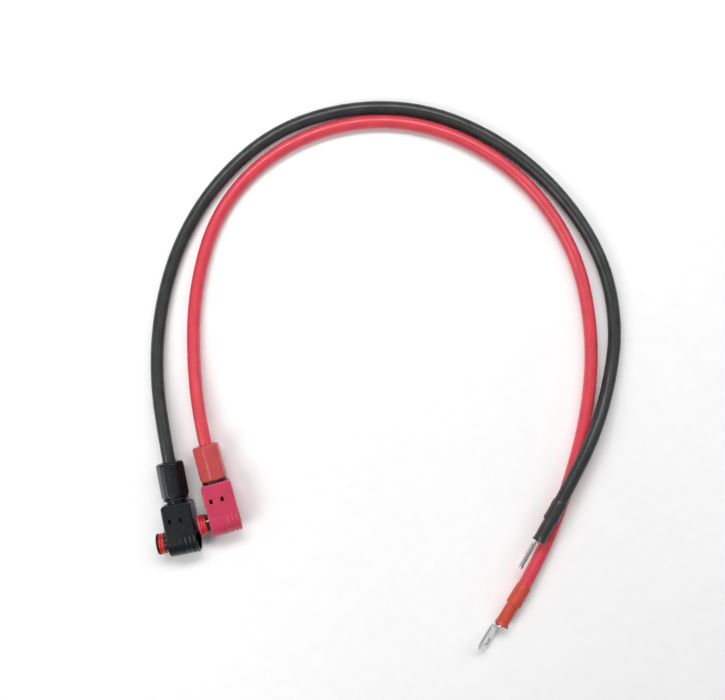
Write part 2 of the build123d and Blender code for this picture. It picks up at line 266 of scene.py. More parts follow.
def soften(piece, sharp, flat_first=True):
    """Smooth shading with sharp edges kept, and flat faces kept flat beside rounded ones."""
    piece.data.shade_smooth()
    piece.data.set_sharp_from_angle(angle=math.radians(sharp))
    if flat_first:
        modifier = piece.modifiers.new("Flat faces first", "WEIGHTED_NORMAL")
        modifier.keep_sharp = True
        modifier.weight = 90


def loft(name, loops, place, ring=False, **shading):
    """Quads between loops of equal counts; a ring joins the last loop to the first."""
    count = len(loops[0])
    points = [point for loop in loops for point in loop]
    pairs = [(k, k + 1) for k in range(len(loops) - 1)]
    if ring:
        pairs.append((len(loops) - 1, 0))
    faces = []
    for a, b in pairs:
        for i in range(count):
            j = (i + 1) % count
            faces.append((a * count + i, a * count + j, b * count + j, b * count + i))
    if not ring:
        faces.append(tuple(reversed(range(count))))
        faces.append(tuple(range((len(loops) - 1) * count, len(loops) * count)))
    return mesh_piece(name, points, faces, place, **shading)


def lathe(name, profile, place, axis="x", segments=96, ring=True, waver=None, **shading):
    """A turned piece from (distance along the axis, radius) points, round unless it wavers."""
    loops = []
    for step, radius in profile:
        loop = []
        for i in range(segments):
            angle = 2 * math.pi * i / segments
            reach = radius + (waver(step, angle, radius) if waver else 0)
            side, up = reach * math.cos(angle), reach * math.sin(angle)
            loop.append((step, side, up) if axis == "x" else (side, step, up))
        loops.append(loop)
    return loft(name, loops, place, ring=ring, **shading)


def rounded(outline, radius):
    """A closed outline with every corner rounded as far as its sides allow."""
    steps = 3
    share = 0.45
    points = []
    count = len(outline)
    for i in range(count):
        corner = Vector(outline[i])
        to_before = Vector(outline[i - 1]) - corner
        to_after = Vector(outline[(i + 1) % count]) - corner
        start = corner + to_before.normalized() * min(radius, share * to_before.length)
        end = corner + to_after.normalized() * min(radius, share * to_after.length)
        for step in range(steps + 1):
            t = step / steps
            point = start * (1 - t) ** 2 + corner * 2 * t * (1 - t) + end * t**2
            points.append(tuple(point))
    return points


def box_tool(x0, x1, y0, y1, z0, z1, place):
    """A plain box between the given limits."""
    loops = [[(x, y0, z0), (x, y1, z0), (x, y1, z1), (x, y0, z1)] for x in (x0, x1)]
    return loft("tool", loops, place)


def carve(piece, tool, operation="DIFFERENCE"):
    """Cuts the tool out of the piece, or adds it, and removes the tool."""
    piece.modifiers.clear()
    modifier = piece.modifiers.new("Carve", "BOOLEAN")
    modifier.object = tool
    modifier.operation = operation
    modifier.solver = "EXACT"
    evaluated = piece.evaluated_get(bpy.context.evaluated_depsgraph_get())
    shaped = bpy.data.meshes.new_from_object(evaluated)
    if len(shaped.polygons) < 6:
        raise RuntimeError(f"carving {piece.name} left nothing")
    piece.modifiers.clear()
    piece.data = shaped
    bpy.data.objects.remove(tool)


# ---------------------------------------------------------------- shader groups


def new_node(tree, kind, links=(), **settings):
    """A node with its settings; links gives (input name or number, value or output socket)."""
    node = tree.nodes.new(kind)
    for name, value in settings.items():
        setattr(node, name, value)
    for socket, value in links:
        if isinstance(value, bpy.types.NodeSocket):
            tree.links.new(value, node.inputs[socket])
        else:
            node.inputs[socket].default_value = value
    return node


def maths(tree, operation, first, second, clamp=False):
    """The output of a Math node on two values or sockets."""
    node = new_node(tree, "ShaderNodeMath", [(0, first), (1, second)], operation=operation)
    node.use_clamp = clamp
    return node.outputs[0]


def spread(tree, value, low, high, to_low=0.0, to_high=1.0):
    """Maps a value from one range to another, held inside it."""
    links = [("Value", value), ("From Min", low), ("From Max", high)]
    links += [("To Min", to_low), ("To Max", to_high)]
    return new_node(tree, "ShaderNodeMapRange", links).outputs[0]


def start_group(name, inputs, outputs):
    """An empty shader node group with float inputs and outputs."""
    group = bpy.data.node_groups.new(name, "ShaderNodeTree")
    for label, value in inputs:
        socket = group.interface.new_socket(label, in_out="INPUT", socket_type="NodeSocketFloat")
        socket.default_value = value
    for label in outputs:
        group.interface.new_socket(label, in_out="OUTPUT", socket_type="NodeSocketFloat")
    entry = group.nodes.new("NodeGroupInput")
    exit_node = group.nodes.new("NodeGroupOutput")
    return group, entry.outputs, exit_node.inputs


def moulded_grain_group():
    """Fine moulded grain over slow cloudiness."""
    group, given, out = start_group("Moulded grain", [("Scale", 2500)], ["Tone", "Height"])
    place = group.nodes.new("ShaderNodeTexCoord").outputs["Object"]
    fine = new_node(group, "ShaderNodeTexNoise", [("Vector", place), ("Scale", given["Scale"])])
    fine.inputs["Detail"].default_value = 3
    slow_scale = maths(group, "MULTIPLY", given["Scale"], 0.035)
    slow = new_node(group, "ShaderNodeTexNoise", [("Vector", place), ("Scale", slow_scale)])
    slow.inputs["Detail"].default_value = 4
    slow.inputs["Roughness"].default_value = 0.6
    tone = maths(group, "MULTIPLY", slow.outputs[0], 0.7)
    tone = maths(group, "ADD", tone, maths(group, "MULTIPLY", fine.outputs[0], 0.3))
    group.links.new(spread(group, tone, 0.32, 0.68), out["Tone"])
    group.links.new(fine.outputs[0], out["Height"])
    return group


def painted_edge_highlight_group():
    """Paints a highlight along outer edges, broken up by noise."""
    group, given, out = start_group("Painted edge highlight", [("Reach", 0.0005), ("Break up", 0.5)], ["Mask"])
    # painted highlight: a mask of rounded outer edges, where glinting light is painted in
    rounded_normal = new_node(group, "ShaderNodeBevel", [("Radius", given["Reach"])], samples=4)
    true_normal = group.nodes.new("ShaderNodeNewGeometry").outputs["Normal"]
    links = [(0, rounded_normal.outputs[0]), (1, true_normal)]
    dot = new_node(group, "ShaderNodeVectorMath", links, operation="DOT_PRODUCT").outputs["Value"]
    edge = spread(group, maths(group, "SUBTRACT", 1.0, dot), 0.01, 0.2)
    place = group.nodes.new("ShaderNodeTexCoord").outputs["Object"]
    noise = new_node(group, "ShaderNodeTexNoise", [("Vector", place), ("Scale", 420)])
    gaps = maths(group, "MULTIPLY", noise.outputs[0], given["Break up"])
    mask = maths(group, "MULTIPLY", edge, maths(group, "SUBTRACT", 1.0, gaps))
    group.links.new(mask, out["Mask"])
    return group


def rub_marks_group():
    """Thin scuffs in two directions, where the surface has been handled."""
    group, given, out = start_group("Rub marks", [("Amount", 0.5)], ["Mask"])
    place = group.nodes.new("ShaderNodeTexCoord").outputs["Object"]
    total = None
    for turn, scale in ((0.5, 900), (-0.9, 1300)):
        mapping = new_node(group, "ShaderNodeMapping", [("Vector", place)])
        mapping.inputs["Rotation"].default_value = (0, 0, turn)
        mapping.inputs["Scale"].default_value = (1, 0.06, 1)
        links = [("Vector", mapping.outputs[0]), ("Scale", scale), ("Detail", 1.0)]
        lines = new_node(group, "ShaderNodeTexNoise", links).outputs[0]
        lines = spread(group, lines, 0.66, 0.74)
        total = lines if total is None else maths(group, "MAXIMUM", total, lines)
    patches = new_node(group, "ShaderNodeTexNoise", [("Vector", place), ("Scale", 60)])
    patch = spread(group, patches.outputs[0], 0.48, 0.66)
    mask = maths(group, "MULTIPLY", maths(group, "MULTIPLY", total, patch), given["Amount"])
    group.links.new(mask, out["Mask"])
    return group


def settled_dust_group():
    """Dust that lies on what faces up."""
    group, given, out = start_group("Settled dust", [("Amount", 0.3)], ["Mask"])
    normal = group.nodes.new("ShaderNodeNewGeometry").outputs["Normal"]
    up = new_node(group, "ShaderNodeSeparateXYZ", [(0, normal)]).outputs["Z"]
    up = spread(group, up, 0.1, 1.0)
    place = group.nodes.new("ShaderNodeTexCoord").outputs["Object"]
    links = [("Vector", place), ("Scale", 240), ("Detail", 6.0), ("Roughness", 0.75)]
    specks = new_node(group, "ShaderNodeTexNoise", links).outputs[0]
    mask = maths(group, "MULTIPLY", up, spread(group, specks, 0.42, 0.72))
    group.links.new(maths(group, "MULTIPLY", mask, given["Amount"]), out["Mask"])
    return group


def drawn_lines_group():
    """Faint lines and waves along a cable or sleeve, from its unrolled map."""
    group, given, out = start_group("Drawn lines", [("Lines", 60)], ["Tone", "Height"])
    unrolled = group.nodes.new("ShaderNodeUVMap").outputs[0]
    links = [(0, unrolled), (1, (1.0, 0.02, 1.0))]
    stretched = new_node(group, "ShaderNodeVectorMath", links, operation="MULTIPLY").outputs[0]
    links = [("Vector", stretched), ("Scale", given["Lines"]), ("Detail", 3.0)]
    lines = new_node(group, "ShaderNodeTexNoise", links).outputs[0]
    links = [("Vector", unrolled), ("Scale", 2.2), ("Detail", 3.0)]
    waves = new_node(group, "ShaderNodeTexNoise", links).outputs[0]
    faint, slow = maths(group, "MULTIPLY", lines, 0.4), maths(group, "MULTIPLY", waves, 0.6)
    tone = maths(group, "ADD", faint, slow)
    group.links.new(spread(group, tone, 0.36, 0.64), out["Tone"])
    group.links.new(lines, out["Height"])
    return group


GROUP_MAKERS = {
    "Moulded grain": moulded_grain_group,
    "Painted edge highlight": painted_edge_highlight_group,
    "Rub marks": rub_marks_group,
    "Settled dust": settled_dust_group,
    "Drawn lines": drawn_lines_group,
}


def use_group(tree, name, **values):
    """Places a shader group, which is built the first time, and sets its inputs."""
    node = tree.nodes.new("ShaderNodeGroup")
    node.node_tree = bpy.data.node_groups.get(name) or GROUP_MAKERS[name]()
    for label, value in values.items():
        node.inputs[label.replace("_", " ")].default_value = value
    return node.outputs


# ---------------------------------------------------------------- finishes


def start_finish(name, **constants):
    """A material with one Principled shader and its constant values."""
    material = bpy.data.materials.new(name)
    material.use_nodes = True
    tree = material.node_tree
    shader = tree.nodes["Principled BSDF"]
    for label, value in constants.items():
        shader.inputs[label.replace("_", " ")].default_value = value
    return material, tree, shader


def tint(colour, amount):
    """The colour made lighter and a little greyer by a positive amount, darker by a negative one."""
    lighter, darker = max(amount, 0.0), min(amount, 0.0)
    scale, grey = 1 + 3 * lighter + darker, 0.1 * lighter
    return tuple(min(part * scale + grey, 1) for part in colour) + (1.0,)


def mixed(tree, mask, first, second):
    """The first colour where the mask is 0 and the second where it is 1."""
    node = new_node(tree, "ShaderNodeMix", data_type="RGBA")
    for socket, value in ((0, mask), (6, first), (7, second)):
        if isinstance(value, bpy.types.NodeSocket):
            tree.links.new(value, node.inputs[socket])
        else:
            node.inputs[socket].default_value = value
    return node.outputs[2]


def bumped(tree, shader, height, strength, distance):
    """Gives a shader a bump from a height."""
    links = [("Strength", strength), ("Distance", distance), ("Height", height)]
    tree.links.new(new_node(tree, "ShaderNodeBump", links).outputs[0], shader.inputs["Normal"])


def moulded_plastic(name, colour, gloss, edge=0.10, dust=0.02, shine=0.4):
    """Injection-moulded plastic: fine grain, a painted highlight on the outer edges, scuffs and a little
    dust.
    """
    material, tree, shader = start_finish(name, Specular_IOR_Level=shine)
    grain_out = use_group(tree, "Moulded grain", Scale=2600)
    base = mixed(tree, grain_out["Tone"], tint(colour, -0.16), tint(colour, 0.015))
    # painted highlight: outer edges mixed towards a paler colour in place of glinting light; edge sets
    # how pale both this and the real scuffs are
    edge_highlight = use_group(tree, "Painted edge highlight", Reach=0.0005, Break_up=0.6)["Mask"]
    base = mixed(tree, maths(tree, "MULTIPLY", edge_highlight, 0.8), base, tint(colour, edge))
    marks = use_group(tree, "Rub marks", Amount=0.5)["Mask"]
    base = mixed(tree, maths(tree, "MULTIPLY", marks, 0.5), base, tint(colour, edge))
    dusty = use_group(tree, "Settled dust", Amount=dust)["Mask"]
    base = mixed(tree, dusty, base, DUST)
    tree.links.new(base, shader.inputs["Base Color"])
    rough = spread(tree, grain_out["Tone"], 0.0, 1.0, gloss + 0.07, gloss - 0.05)
    rough = maths(tree, "ADD", rough, maths(tree, "MULTIPLY", marks, 0.2), clamp=True)
    tree.links.new(rough, shader.inputs["Roughness"])
    bumped(tree, shader, grain_out["Height"], 0.25, GRAIN_HEIGHT)
    return material


def soft_rubber(name, colour, gloss, pale=0.03):
    """Moulded rubber or silicone with a soft sheen."""
    material, tree, shader = start_finish(name, Sheen_Weight=0.05, Sheen_Roughness=0.4)
    grain_out = use_group(tree, "Moulded grain", Scale=1800)
    base = mixed(tree, grain_out["Tone"], tint(colour, -0.2), tint(colour, pale))
    tree.links.new(base, shader.inputs["Base Color"])
    rough = spread(tree, grain_out["Tone"], 0.0, 1.0, gloss + 0.08, gloss - 0.05)
    tree.links.new(rough, shader.inputs["Roughness"])
    bumped(tree, shader, grain_out["Height"], 0.2, GRAIN_HEIGHT)
    return material


def drawn_jacket(name, colour, gloss, lines=60, pale=0.05, dust=0.02, bump=0.12, shine=0.4):
    """Extruded or shrunk plastic: faint lines along its length, slow tone changes, dust."""
    material, tree, shader = start_finish(name, Specular_IOR_Level=shine)
    drawn = use_group(tree, "Drawn lines", Lines=lines)
    grain_out = use_group(tree, "Moulded grain", Scale=2200)
    base = mixed(tree, drawn["Tone"], tint(colour, -0.12), tint(colour, pale))
    base = mixed(tree, maths(tree, "MULTIPLY", grain_out["Tone"], 0.25), base, tint(colour, -0.2))
    marks = use_group(tree, "Rub marks", Amount=0.4)["Mask"]
    base = mixed(tree, maths(tree, "MULTIPLY", marks, 0.35), base, tint(colour, 0.25))
    dusty = use_group(tree, "Settled dust", Amount=dust)["Mask"]
    base = mixed(tree, dusty, base, DUST)
    tree.links.new(base, shader.inputs["Base Color"])
    rough = spread(tree, drawn["Tone"], 0.0, 1.0, gloss + 0.08, gloss - 0.06)
    tree.links.new(rough, shader.inputs["Roughness"])
    height = maths(tree, "ADD", drawn["Height"], maths(tree, "MULTIPLY", grain_out["Height"], 0.3))
    bumped(tree, shader, height, bump, LINE_HEIGHT)
    return material


def plated_metal(name, colour, gloss=0.26):
    """Plated or bare metal with a cloudy, slightly rubbed surface."""
    material, tree, shader = start_finish(name, Metallic=1.0)
    grain_out = use_group(tree, "Moulded grain", Scale=900)
    dull = tint(colour, -0.35)
    base = mixed(tree, grain_out["Tone"], dull, tint(colour, 0.12))
    marks = use_group(tree, "Rub marks", Amount=0.9)["Mask"]
    base = mixed(tree, maths(tree, "MULTIPLY", marks, 0.5), base, dull)
    tree.links.new(base, shader.inputs["Base Color"])
    rough = spread(tree, grain_out["Tone"], 0.0, 1.0, gloss + 0.12, gloss - 0.06)
    rough = maths(tree, "ADD", rough, maths(tree, "MULTIPLY", marks, 0.25), clamp=True)
    tree.links.new(rough, shader.inputs["Roughness"])
    bumped(tree, shader, grain_out["Height"], 0.15, GRAIN_HEIGHT)
    return material


def pale_floor(colour):
    """The floor's matt finish, almost even."""
    material, tree, shader = start_finish("pale_floor", Specular_IOR_Level=0.2)
    grain_out = use_group(tree, "Moulded grain", Scale=90)
    base = mixed(tree, grain_out["Tone"], tint(colour, -0.02), tint(colour, 0.02))
    tree.links.new(base, shader.inputs["Base Color"])
    tree.links.new(spread(tree, grain_out["Tone"], 0, 1, 0.75, 0.65), shader.inputs["Roughness"])
    return material


def finish_makers():
    """How the finish of each material slot is made, and of the two looks that have no slot."""
    colours = bpy.context.scene.lead_colours
    return {
        # edge: how pale the painted edge highlight and the scuffs are
        "black_plastic": lambda n: moulded_plastic(
            n, colours.black_plastic, 0.27, edge=0.3, dust=0.006, shine=0.25
        ),
        "black_nut_plastic": lambda n: moulded_plastic(
            n, colours.black_plastic, 0.25, edge=0.3, dust=0.006, shine=0.3
        ),
        "polished_black": lambda n: moulded_plastic(n, colours.black_plastic, 0.10, dust=0.0, shine=0.8),
        "hidden_black": lambda n: moulded_plastic(
            n, colours.black_rubber, 0.7, edge=0.0, dust=0.0, shine=0.1
        ),
        "red_plastic": lambda n: moulded_plastic(n, colours.red_plastic, 0.30),
        "red_nut_plastic": lambda n: moulded_plastic(n, colours.red_nut_plastic, 0.29, shine=0.5),
        "red_silicone": lambda n: soft_rubber(n, colours.red_silicone, 0.34),
        "black_rubber": lambda n: soft_rubber(n, colours.black_rubber, 0.16, pale=0.01),
        "red_jacket": lambda n: drawn_jacket(n, colours.red_jacket, 0.32, pale=0.06, shine=0.5),
        "black_jacket": lambda n: drawn_jacket(n, colours.black_jacket, 0.32, pale=0.2, dust=0.01),
        "red_shrink": lambda n: drawn_jacket(n, colours.red_shrink, 0.38, 25, bump=0.35),
        "black_shrink": lambda n: drawn_jacket(
            n, colours.black_shrink, 0.34, 25, dust=0.01, bump=0.4, shine=0.45
        ),
        "tinned_copper": lambda n: plated_metal(n, colours.tin),
        "silver_plate": lambda n: plated_metal(n, SILVER, 0.22),
        "gold_spring": lambda n: plated_metal(n, GOLD, 0.25),
        "spring_steel": lambda n: plated_metal(n, STEEL, 0.30),
        "bare_copper": lambda n: plated_metal(n, COPPER, 0.35),
    }


def finish(slot):
    """The material of a slot or look, made the first time it is asked for."""
    name = f"{slot}_finish"
    return bpy.data.materials.get(name) or finish_makers()[slot](name)


def settle(piece, body, slot, *nodes, look=None):
    """Gives a piece its finish and slot, and lets it ride on its body in place of its nodes."""
    piece.data.materials.clear()
    piece.data.materials.append(finish(look or slot))
    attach(piece, body)
    if nodes:
        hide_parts(*nodes)


# ---------------------------------------------------------------- cables


def centre_line(colour):
    """Points along the smooth line that the cable's route steers."""
    curve = bpy.data.curves.new(f"{colour}_route", "CURVE")
    curve.dimensions = "3D"
    spline = curve.splines.new("NURBS")
    spline.points.add(len(ROUTES[colour]) - 1)
    for point, place in zip(spline.points, ROUTES[colour]):
        point.co = (*place, 1.0)
    spline.order_u = 3
    spline.use_endpoint_u = True
    spline.resolution_u = 20
    holder = bpy.data.objects.new(f"{colour}_route", curve)
    bpy.context.scene.collection.objects.link(holder)
    evaluated = holder.evaluated_get(bpy.context.evaluated_depsgraph_get())
    line = bpy.data.meshes.new_from_object(evaluated)
    points = [vertex.co.copy() for vertex in line.vertices]
    bpy.data.objects.remove(holder)
    return points


def tube(name, line, radius):
    """A round tube along a line, carried forward without twist, with an unrolled map."""
    segments = 32
    across = Vector((0, 0, 1))
    points = []
    lengths = [0.0]
    for k, centre in enumerate(line):
        ahead = (line[min(k + 1, len(line) - 1)] - line[max(k - 1, 0)]).normalized()
        across = (across - ahead * across.dot(ahead)).normalized()
        side = ahead.cross(across)
        for i in range(segments):
            angle = 2 * math.pi * i / segments
            points.append(centre + (across * math.cos(angle) + side * math.sin(angle)) * radius)
        if k:
            lengths.append(lengths[-1] + (centre - line[k - 1]).length)
    faces = []
    unrolled = []
    around = 2 * math.pi * radius
    for k in range(len(line) - 1):
        here, beyond = k * segments, (k + 1) * segments
        near, far = lengths[k] / around, lengths[k + 1] / around
        for i in range(segments):
            j = (i + 1) % segments
            faces.append([here + i, here + j, beyond + j, beyond + i])
            left, right = i / segments, (i + 1) / segments
            unrolled += [(left, near), (right, near), (right, far), (left, far)]
    faces.append(list(reversed(range(segments))))
    faces.append(list(range(len(points) - segments, len(points))))
    unrolled += [(0.5, 0.5)] * (2 * segments)
    mesh = bpy.data.meshes.new(name)
    mesh.from_pydata(points, [], faces)
    layer = mesh.uv_layers.new(name="Unrolled")
    layer.data.foreach_set("uv", [number for pair in unrolled for number in pair])
    mesh.shade_smooth()
    mesh.set_sharp_from_angle(angle=math.radians(50))
    piece = bpy.data.objects.new(name, mesh)
    bpy.context.scene.collection.objects.link(piece)
    return piece


def unroll(piece, place, around):
    """An unrolled map about the piece's own X axis, for lines that run along it."""
    mesh = piece.data
    layer = mesh.uv_layers.new(name="Unrolled")
    inverse = place.inverted()
    for face in mesh.polygons:
        for corner in face.loop_indices:
            point = inverse @ mesh.vertices[mesh.loops[corner].vertex_index].co
            turn = math.atan2(point.z, point.y) / (2 * math.pi)
            layer.data[corner].uv = (abs(turn) * 2, point.x / around)


# ---------------------------------------------------------------- plug pieces


def d_loop(x, radius, top, corner):
    """A D-shaped outline at one x: half round below, straight sides, rounded upper corners."""
    chin, side, bend, crown = 32, 5, 4, 8
    low = top - corner
    points = []
    for i in range(chin + 1):
        angle = math.pi * i / chin
        points.append((x, -radius * math.sin(angle), radius * math.cos(angle)))
    for i in range(1, side + 1):
        points.append((x, low * i / side, -radius))
    for i in range(1, bend + 1):
        angle = math.pi / 2 * i / bend
        points.append((x, low + corner * math.sin(angle), -radius + corner * (1 - math.cos(angle))))
    flat = radius - corner
    for i in range(1, crown):
        points.append((x, top, -flat + 2 * flat * i / crown))
    for i in range(bend, 0, -1):
        angle = math.pi / 2 * i / bend
        points.append((x, low + corner * math.sin(angle), radius - corner * (1 - math.cos(angle))))
    for i in range(side, 0, -1):
        points.append((x, low * i / side, radius))
    return points


def housing_shell(name, place):
    """The flat-sided body with a round end, all its outer edges rounded."""
    half_width, flat_z, top, plan_corner, edge = 11.5, 10.7, 29.0, 3.2, 1.0
    stations = [0, 0.12, 0.3, 0.6, 1.0, 1.5, 2.2, 3.2, 6.0, 11.5]
    places = [-half_width + s for s in stations] + [half_width - s for s in reversed(stations[:-1])]
    loops = []
    for x in places:
        from_edge = half_width - abs(x)
        inset = edge - math.sqrt(edge**2 - max(edge - from_edge, 0) ** 2)
        drop = plan_corner - math.sqrt(plan_corner**2 - max(plan_corner - from_edge, 0) ** 2)
        loops.append(d_loop(x, flat_z - inset, top - max(drop, inset), 1.0))
    return loft(name, loops, place)


def collar(name, place, back):
    """The raised band around the front half of the round end."""
    loops = []
    stations = [(-11.5, 0.6), (-11.4, 0.3), (-11.15, 0.08), (-10.9, 0), (-6, 0), (back, 0)]
    for x, inset in stations:
        loops.append(d_loop(x, 11.3 - inset, 3.65 - inset * 0.5, 0.55))
    return loft(name, loops, place)


def button_room_tool(place):
    """The room that the release button takes around the rear half of the round end."""
    outline = [(3.65, 14), (-14, 14), (-14, -14), (3.65, -14), (3.65, -10.7), (3.1, -10.7), (3.1, -9)]
    for i in range(33):
        angle = math.pi * i / 32
        outline.append((2.1 - 9 * math.sin(angle), -9 * math.cos(angle)))
    outline += [(3.1, 9), (3.1, 10.7), (3.65, 10.7)]
    loops = [[(x, y, z) for y, z in outline] for x in (-1.15, 12.5)]
    return loft("tool", loops, place)


def cavity_tool(place):
    """The room behind the front cover, its lower corners cut back under the button."""
    front = [(25, 7.6), (25, -7.6), (-1.1, -7.6), (-1.1, -6.2)]
    front += [(-6, -6.2), (-6, 6.2), (-1.1, 6.2), (-1.1, 7.6)]
    rear = [(25, 7.6), (25, -7.6), (-1.1, -7.5), (-3.2, -6.2)]
    rear += [(-5.6, -2.9), (-5.6, 2.9), (-3.2, 6.2), (-1.1, 7.5)]
    loops = [[(x, y, z) for y, z in front] for x in (-12.5, -2.0)]
    loops += [[(x, y, z) for y, z in rear] for x in (-1.9, 7)]
    return loft("tool", loops, place)


def make_housing(colour):
    """The plug's body, with its front room, windows and the button's slot, and its neck."""
    place = plug_place(colour)
    name = f"{colour}_plug_body"
    piece = housing_shell(name, place)
    carve(piece, collar("tool", place, -0.9), "UNION")
    carve(piece, button_room_tool(place))
    carve(piece, cavity_tool(place))
    for x in (-6.2, 2.4):
        for side in (-1, 1):
            low, high = sorted((side * 7, side * 12))
            carve(piece, box_tool(x - 1.25, x + 1.25, 14.5, 18.1, low, high, place))
    carve(piece, box_tool(-8.4, -7.0, -8.5, -0.6, -6.7, 6.7, place))
    carve(piece, box_tool(-8.4, -1.0, -10, -6.8, -4.3, 4.3, place))
    soften(piece, 30)
    settle(piece, f"{colour}_lead", f"{colour}_plastic", f"{colour}_housing")
    make_spigot(colour, place)


def make_spigot(colour, place):
    """The threaded neck that the gland nut turns on, with a real helix on it."""
    pitch, thread_r, root_r, bore_r = 1.5, 8.2, 7.55, 7.05
    start, top, stride = 33.6, 47.5, 0.25
    segments = 72
    profile = [(28.4, 7.7), (33.4, 7.7), (33.7, 7.6)]
    steps = int((top - start) / stride)
    profile += [(start + 0.15 + k * stride, thread_r) for k in range(steps)]
    profile += [(top - 0.3, 7.9), (top, 7.6), (top, bore_r), (34.4, bore_r), (34.2, 5.3), (28.4, 5.3)]

    def thread(step, angle, radius):
        if radius < thread_r:
            return 0.0
        phase = ((step - start) / pitch - angle / (2 * math.pi)) % 1.0
        ramp = min(1.0, (step - start) / 1.2)
        return -(thread_r - root_r) * (0.5 + 0.5 * math.cos(2 * math.pi * phase)) * ramp

    piece = lathe(f"{colour}_gland_thread", profile, place, "y", segments, waver=thread, sharp=55)
    settle(piece, f"{colour}_lead", f"{colour}_plastic", f"{colour}_housing")


def u_loop(x, outer, groove, inner, top, lip):
    """The U-shaped outline of the release button at one x, its groove deepest underneath."""
    outer_steps, inner_steps, edge, neck = 40, 32, 0.5, 10.78
    points = []
    for i in range(outer_steps + 1):
        angle = math.pi * i / outer_steps
        reach = outer - groove * (0.35 + 0.65 * math.sin(angle) ** 2)
        points.append((x, -reach * math.sin(angle), reach * math.cos(angle)))
    outer -= groove * 0.35
    points += [(x, top - edge, -outer), (x, top - edge * 0.4, -outer + edge * 0.5), (x, top, -neck)]
    points += [(x, lip, -neck), (x, lip, -inner)]
    for i in range(inner_steps + 1):
        angle = math.pi * i / inner_steps
        points.append((x, -inner * math.sin(angle), -inner * math.cos(angle)))
    points += [(x, lip, inner), (x, lip, neck), (x, top, neck)]
    points += [(x, top - edge * 0.4, outer - edge * 0.5), (x, top - edge, outer)]
    return points


def make_button(colour):
    """The ribbed saddle around the rear half of the round end, with its tongue."""
    place = plug_place(colour)
    depth = bpy.context.scene.lead_sizes.groove_depth / MM
    front, back = -0.95, 11.5
    stations = [(front, 0.05, 0), (front + 0.12, 0.01, 0), (front + 0.4, 0, 0)]
    for number in range(3):
        x = front + 3.4 * (number + 1) - 0.6
        for k in range(9):
            t = k / 8
            wave = 0.5 - 0.5 * math.cos(2 * math.pi * t)
            stations.append((x - 0.45 + 2.0 * t, 0, depth * wave))
    stations += [(back - 1.0, 0, 0), (back - 0.55, 0.12, 0), (back - 0.2, 0.4, 0), (back, 0.9, 0)]
    loops = []
    for x, inset, groove in stations:
        top = 3.6 - 0.4 * min(inset + groove, 0.5)
        loops.append(u_loop(x, 11.3 - inset, groove, 9.3, top, 1.0))
    piece = loft(f"{colour}_release_saddle", loops, place)
    tongue = box_tool(-7.2, 1.0, -9.9, -8.7, -3.9, 3.9, place)
    carve(piece, tongue, "UNION")
    soften(piece, 34)
    settle(piece, f"{colour}_release_button", f"{colour}_plastic", f"{colour}_release_button")


def make_nose(colour):
    """The nose's tube and rim, the cover plate behind them and the two snap arms."""
    place = plug_place(colour)
    outline = [(-8.6, 5.4), (-8.6, 7.2), (-13.9, 7.2), (-13.9, 6.9), (-18.6, 6.9), (-18.6, 6.4)]
    outline += [(-20.1, 6.4), (-20.1, 5.4)]
    nose = lathe(f"{colour}_nose_tube", rounded(outline, 0.25), place)
    outline = [(-18.6, 6.43), (-18.6, 8.2), (-19.6, 8.2), (-20.2, 7.95), (-20.4, 7.3), (-20.4, 6.43)]
    rim = lathe(f"{colour}_nose_rim", rounded(outline, 0.3), place)
    plate = box_tool(-11.45, -8.6, -5.9, 24.9, -6.1, 6.1, place)
    carve(plate, box_tool(-11.5, -8.5, -1.0, 24.9, -7.5, 7.5, place), "UNION")
    bore = lathe("tool", [(-12, 0.01), (-12, 7.1), (-8, 7.1), (-8, 0.01)], place, ring=False)
    carve(plate, bore)
    for side in (-1, 1):
        arm_low, arm_high = sorted((side * 6.4, side * 7.4))
        tooth_low, tooth_high = sorted((side * 7.3, side * 7.7))
        carve(plate, box_tool(-8.7, -5.2, 14.8, 17.8, arm_low, arm_high, place), "UNION")
        carve(plate, box_tool(-7.2, -5.2, 14.8, 17.8, tooth_low, tooth_high, place), "UNION")
    plate.name = f"{colour}_cover_plate"
    soften(plate, 30)
    settle(rim, f"{colour}_lead", f"{colour}_plastic", f"{colour}_seal_retainer")
    settle(nose, f"{colour}_lead", "black_plastic", f"{colour}_front_cover", look="polished_black")
    settle(plate, f"{colour}_lead", "black_plastic", f"{colour}_front_cover", look="hidden_black")


def make_seal(colour):
    """The soft ring on the nose, with two rounded beads."""
    place = plug_place(colour)
    start, end, seat, low, high = -14.0, -18.5, 6.95, 7.6, 8.0
    outer = []
    for k in range(25):
        t = k / 24
        bead = abs(math.sin(2 * math.pi * t)) ** 0.7
        outer.append((start + (end - start) * t, low + (high - low) * bead))
    outline = [(start, seat)] + outer + [(end, seat)]
    piece = lathe(f"{colour}_seal_ring", outline, place, sharp=50)
    settle(piece, f"{colour}_lead", "red_silicone", f"{colour}_interface_seal")


